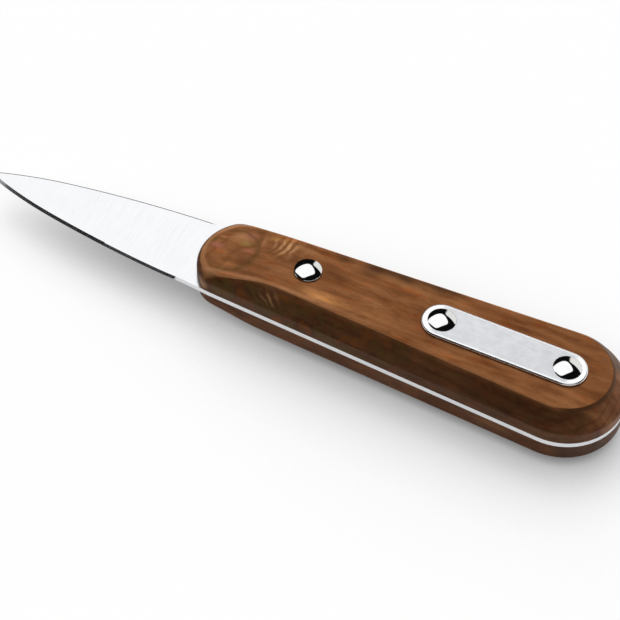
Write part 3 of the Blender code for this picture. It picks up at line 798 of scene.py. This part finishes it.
def thin_nose(bm, seat_z):
    """Sands the lower scale thinner towards its nose, as the photo shows under the tang."""
    for vert in bm.verts:
        along = min(max((LOWER_NOSE_START - vert.co.x) / LOWER_NOSE_SPAN, 0.0), 1.0)
        below = min(max((seat_z - vert.co.z) / LOWER_NOSE_DEPTH, 0.0), 1.0)
        vert.co.z += LOWER_NOSE_LIFT * along**2 * (3 - 2 * along) * below


def upper_scale(name, node, finish, seat_z):
    bm = merged_copy(node)
    low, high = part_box(node)
    seat_on_tang(bm, low.z, seat_z)
    close_seats(bm)
    close_pocket(bm)
    break_edges(bm, square_edges_at(bm, high.z), BROKEN_EDGE)
    finish_piece(bm, name, finish, node, WOOD_CREASE)


def lower_scale(name, node, finish, seat_z):
    bm = merged_copy(node)
    low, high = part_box(node)
    seat_on_tang(bm, high.z, seat_z)
    close_seats(bm)
    break_edges(bm, square_edges_at(bm, low.z), BROKEN_EDGE)
    thin_nose(bm, seat_z)
    finish_piece(bm, name, finish, node, WOOD_CREASE)


def ease_spine(bm, top_z, nose_x):
    """Eases the spine's upper corner so that it doesn't bite the thumb."""
    spine = [edge for edge in square_edges_at(bm, top_z)
             if all(vert.co.y > 0 and vert.co.x < nose_x + HANDLE_NOSE_CLEAR for vert in edge.verts)
             and abs(edge.verts[0].co.x - edge.verts[1].co.x) > SPINE_EASING_WIDTH]
    for vert in break_edges(bm, spine, SPINE_EASING_WIDTH, segments=1)["verts"]:
        if top_z - SPINE_EASING_DEPTH < vert.co.z < top_z - SPINE_EASING_DROP:
            vert.co.z = top_z - SPINE_EASING_DROP


def grind_bevels(bm, low, high, nose_x):
    """Grinds the edge from both sides, so that the two bevels meet halfway through the steel."""
    heel_x = nose_x - HEEL_LENGTH
    for vert in bm.verts:
        if vert.co.y > 0 or vert.co.x > heel_x:
            continue
        growth = min(1.0, (vert.co.x - low.x) / TIP_TAPER)
        if vert.co.x > heel_x - HEEL_RUN_OUT:
            vert.co.x += HEEL_RUN_OUT
        if high.z - vert.co.z < SAME_PLACE:
            vert.co.y -= BEVEL_SHOULDER_OUT * growth
        elif vert.co.z - low.z > SAME_PLACE:
            vert.co.y -= CUTTING_EDGE_OUT * growth
            vert.co.z = (low.z + high.z) / 2


def blade(name, node, finish):
    """Blade and tang in one."""
    bm = merged_copy(node)
    low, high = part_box(node)
    nose_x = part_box("top_scale")[0].x
    ease_spine(bm, high.z, nose_x)
    grind_bevels(bm, low, high, nose_x)
    finish_piece(bm, name, finish, node, BLADE_CREASE)


def plate(name, node, finish):
    bm = merged_copy(node)
    close_seats(bm)
    finish_piece(bm, name, finish, node, PLATE_CREASE)


def spun_profile(points, centre_x, centre_y):
    """A closed solid of revolution from (radius, height) points that start and end on its axis."""
    bm = bmesh.new()
    verts = [bm.verts.new((centre_x + radius, centre_y, height)) for radius, height in points]
    edges = [bm.edges.new(pair) for pair in zip(verts, verts[1:])]
    bmesh.ops.spin(bm, geom=verts + edges, axis=(0, 0, 1), cent=(centre_x, centre_y, 0), dvec=(0, 0, 0),
                   angle=2 * math.pi, steps=SPIN_STEPS, use_merge=True, use_duplicate=False)
    bmesh.ops.remove_doubles(bm, verts=bm.verts, dist=SPIN_SEAM)
    return bm


def rivet_head(name, node, finish):
    """Polished domed head and its tube."""
    low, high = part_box(node)
    centre = (low + high) / 2
    radius = (high.x - low.x) / 2
    rim_z = high.z - HEAD_DOME_RISE
    seat_z = rim_z - HEAD_EDGE_HEIGHT
    dome_radius = (radius**2 + HEAD_DOME_RISE**2) / (2 * HEAD_DOME_RISE)
    dome_angle = math.asin(radius / dome_radius) * (1 - HEAD_EDGE_ROUND / radius)
    profile = []
    for step in range(DOME_STEPS + 1):
        turn = dome_angle * step / DOME_STEPS
        profile.append((dome_radius * math.sin(turn), high.z - dome_radius * (1 - math.cos(turn))))
    profile += [(radius, rim_z - HEAD_EDGE_ROUND), (radius, seat_z), (TUBE_RADIUS, seat_z),
                (TUBE_RADIUS, low.z), (BORE_RADIUS, low.z), (BORE_RADIUS, low.z + BORE_DEPTH),
                (0.0, low.z + BORE_DEPTH)]
    bm = spun_profile(profile, centre.x, centre.y)
    finish_piece(bm, name, finish, node, HEAD_CREASE)


def rivet_pin(name, node, finish):
    """Flat rear head and its pin."""
    low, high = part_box(node)
    centre = (low + high) / 2
    radius = (high.x - low.x) / 2
    head_z = low.z + REAR_HEAD_THICKNESS
    corner = REAR_HEAD_ROUND * ROUND_MIDDLE
    profile = [(0.0, low.z), (radius - REAR_HEAD_ROUND, low.z), (radius - corner, low.z + corner),
               (radius, low.z + REAR_HEAD_ROUND), (radius, head_z), (PIN_RADIUS, head_z),
               (PIN_RADIUS, high.z), (0.0, high.z)]
    bm = spun_profile(profile, centre.x, centre.y)
    finish_piece(bm, name, finish, node, PIN_CREASE)


def direction(azimuth, elevation):
    """Unit vector towards an azimuth, counted from +X to +Y, and an elevation, both in degrees."""
    turn, rise = math.radians(azimuth), math.radians(elevation)
    return Vector((math.cos(turn) * math.cos(rise), math.sin(turn) * math.cos(rise), math.sin(rise)))


def card_mask(tree, ray, card):
    """1 where a ray meets the card, 0 elsewhere. A card spans left to right and low to high, as tangents from
    the direction that it stands in, and corner says how square it is."""
    axis = direction(card.azimuth, card.elevation)
    across = axis.cross(Vector((0, 0, 1))).normalized()
    upward = across.cross(axis)
    roll = Matrix.Rotation(math.radians(card.turn), 3, axis)
    ahead, wide, tall = [vector_maths(tree, "DOT_PRODUCT", ray, side)
                         for side in (axis, roll @ across, roll @ upward)]
    ahead = maths(tree, "MAXIMUM", ahead, CARD_LEAST_AHEAD)
    reach = []
    for part, low, high in ((wide, card.left, card.right), (tall, card.low, card.high)):
        off = maths(tree, "SUBTRACT", maths(tree, "DIVIDE", part, ahead), (low + high) / 2)
        share = maths(tree, "DIVIDE", maths(tree, "ABSOLUTE", off), (high - low) / 2)
        reach.append(maths(tree, "POWER", maths(tree, "MINIMUM", share, CARD_MOST_OFF), card.corner))
    return remap(tree, maths(tree, "ADD", *reach), 1.0 + card.edge, 1.0 - card.edge)


def studio_world():
    """White to the camera, a dim room to matt surfaces, and the cards in the dark to polished ones."""
    world = bpy.data.worlds.new("studio")
    bpy.context.scene.world = world
    world.use_nodes = True
    tree = world.node_tree
    tree.nodes.clear()
    ray = add_node(tree, "TexCoord").outputs["Generated"]
    seen = (*ROOM_COLOUR, 1.0)
    for card in STUDIO_CARDS.values():
        seen = cover(tree, card_mask(tree, ray, card), seen, card.colour)
    glossy = add_node(tree, "Background", {0: seen, 1: 1.0}).outputs[0]
    diffuse = add_node(tree, "Background", {0: (*WHITE, 1.0), 1: ROOM_LIGHT}).outputs[0]
    camera = add_node(tree, "Background", {0: (*WHITE, 1.0), 1: 1.0}).outputs[0]
    path = add_node(tree, "LightPath").outputs
    lit = add_node(tree, "MixShader", {0: path["Is Glossy Ray"], 1: diffuse, 2: glossy}).outputs[0]
    shown = add_node(tree, "MixShader", {0: path["Is Camera Ray"], 1: lit, 2: camera}).outputs[0]
    add_node(tree, "OutputWorld", {0: shown})


def soft_light(name, azimuth, elevation, spread, strength):
    """A very wide, even light from one direction. Steel sees the studio's cards instead of it."""
    lamp = bpy.data.lights.new(name, "SUN")
    lamp.energy = strength
    lamp.angle = math.radians(spread)
    holder = add_object(name, lamp)
    holder.matrix_world = direction(azimuth, elevation).to_track_quat("Z", "Y").to_matrix().to_4x4()
    holder.visible_glossy = False


def floor_paper(name):
    """Pale matt paper that keeps the shadow and turns white away from the knife. To the camera and to
    polished steel, most of it is a glow with a painted shade, as if a tent lit it evenly from all round: its
    brightness is how much of the space round a point it sees past the knife. The rest is the two lamps and
    their shadow."""
    finish, tree, shader = new_finish(name)
    place = millimetres(tree)
    tooth = grain_noise(tree, place, FLOOR_TOOTH)
    shade = colour_ramp(tree, tooth, [(FLOOR_TOOTH_LOW, (FLOOR_SHADE - FLOOR_TOOTH_CONTRAST,) * 3),
                                      (FLOOR_TOOTH_HIGH, (FLOOR_SHADE + FLOOR_TOOTH_CONTRAST,) * 3)])
    join(tree, shader, {"Base Color": shade, "Roughness": FLOOR_ROUGHNESS, "Specular IOR Level": FLOOR_GLOSS})
    # Painted shade: the floor's glow is dimmed by how much the knife hides round each point
    lean = direction(FLOOR_PAINTED_SHADE_AZIMUTH, FLOOR_PAINTED_SHADE_ELEVATION)
    lean = add_node(tree, "CombineXYZ", {0: lean.x, 1: lean.y, 2: lean.z}).outputs[0]
    open_to_tent = add_node(tree, "AmbientOcclusion", {"Distance": FLOOR_PAINTED_SHADE_REACH, "Normal": lean},
                            samples=FLOOR_PAINTED_SHADE_SAMPLES).outputs["AO"]
    tent_seen = maths(tree, "MULTIPLY", open_to_tent, FLOOR_GLOW_GAIN, clamp=True)
    tent = add_node(tree, "Emission", {0: (*WHITE, 1.0), 1: tent_seen}).outputs[0]
    far = remap(tree, vector_maths(tree, "LENGTH", place), FLOOR_FADE_START_MM, FLOOR_FADE_END_MM,
                FLOOR_GLOW_SHARE, 1.0)
    path = add_node(tree, "LightPath").outputs
    pictured = maths(tree, "MAXIMUM", path["Is Camera Ray"], path["Is Glossy Ray"])
    mixed = add_node(tree, "MixShader", {0: product(tree, far, pictured), 1: shader.outputs[0], 2: tent})
    tree.links.new(mixed.outputs[0], tree.nodes["Material Output"].inputs["Surface"])
    return finish


def studio_floor():
    bm = bmesh.new()
    bmesh.ops.create_circle(bm, cap_ends=True, radius=FLOOR_RADIUS, segments=FLOOR_SIDES)
    floor = add_mesh(bm, "floor", floor_paper("floor_paper"))


def photo_camera():
    lens = bpy.data.cameras.new("camera")
    lens.lens = CAMERA_LENS
    lens.sensor_width = SENSOR_WIDTH
    lens.clip_start, lens.clip_end = CAMERA_NEAREST, CAMERA_FARTHEST
    camera = add_object("camera", lens)
    back = CAMERA_RIGHT.cross(CAMERA_UP)
    turn = Matrix((CAMERA_RIGHT, CAMERA_UP, back)).transposed().to_4x4()
    camera.matrix_world = Matrix.Translation(CAMERA_EYE) @ turn
    bpy.context.scene.camera = camera


def dress_knife():
    steel_low, steel_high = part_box("blade")
    walnut_top = walnut("walnut", NO_SHIFT, WHITE)
    # A darker copy of the walnut for the lower scale: painted shade
    walnut_under = walnut("walnut_lower", LOWER_BOARD_SHIFT_MM, LOWER_SCALE_SHADE_TONE)
    ground = ground_steel("blade_steel", steel_high.z)
    satin = satin_steel("plate_steel", "plate")
    bright = polished_steel("rivet_steel", HEAD_STEEL, HEAD_ROUGHNESS)
    pin_bright = polished_steel("rivet_pin_steel", PIN_STEEL, PIN_ROUGHNESS)

    upper_scale("walnut_scale_upper", "top_scale", walnut_top, steel_high.z + GLUE_LINE)
    lower_scale("walnut_scale_lower", "bottom_scale", walnut_under, steel_low.z - GLUE_LINE)
    blade("ground_blade", "blade", ground)
    plate("satin_plate", "plate", satin)
    for number in RIVET_NUMBERS:
        rivet_head(f"polished_head_{number}", f"rivet_{number}_head", bright)
        rivet_pin(f"rear_head_{number}", f"rivet_{number}_pin", pin_bright)


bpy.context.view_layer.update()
bpy.context.scene.view_settings.view_transform = "Standard"
photo_camera()
studio_world()
for light in SOFT_LIGHTS:
    soft_light(*light)
studio_floor()
dress_knife()
